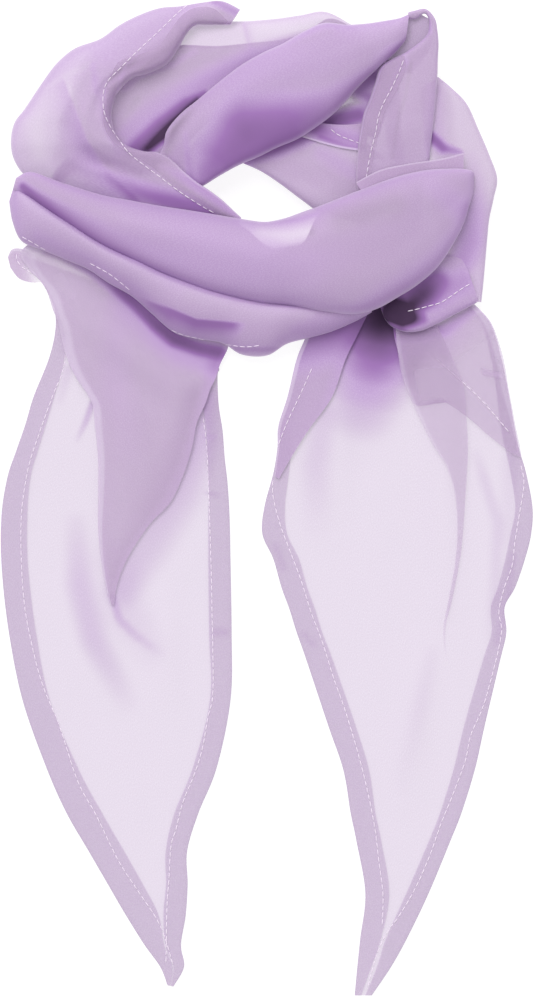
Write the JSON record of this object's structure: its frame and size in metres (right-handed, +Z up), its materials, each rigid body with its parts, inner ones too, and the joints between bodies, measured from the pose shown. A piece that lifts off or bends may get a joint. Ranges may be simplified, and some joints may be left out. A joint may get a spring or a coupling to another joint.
{
  "type": "chiffon scarf",
  "caption": "Chiffon neck scarf wound into a soft ring and laid flat, with two pointed, hemmed tails hanging down side by side.",
  "frame": {"origin": "middle of the bounding box in X and Y, on the surface the scarf lies on", "axes": "+Y along the scarf from the tails' points to the ring's back, +X across it to the right tail, +Z up from the surface"},
  "size_m": [0.318, 0.596, 0.0419],
  "materials": {
    "chiffon": "sheer, matt",
    "hem": "doubled sheer cloth, matt",
    "packed_layers": "many layers of sheer cloth, matt"
  },
  "bodies": {
    "root": {"inner_layers": "packed_layers", "front_roll": "chiffon", "second_roll": "chiffon", "left_band": "chiffon", "back_band": "chiffon", "diagonal_roll": "chiffon", "turned_band": "chiffon", "inner_band": "chiffon", "outer_sheer": "chiffon", "cuff": "hem", "left_band_hem": "hem", "turned_band_hem": "hem", "inner_band_hem": "hem", "loop_back": "chiffon", "left_tail": "chiffon", "left_tail_hem_left": "hem", "left_tail_hem_right": "hem", "left_tail_gathers": "chiffon", "left_tail_lobe": "hem", "right_tail": "chiffon", "right_tail_hem_left": "hem", "right_tail_hem_right": "hem", "right_tail_left_turn": "hem", "right_tail_right_turn": "hem", "right_tail_pleat": "chiffon"}
  },
  "joints": []
}
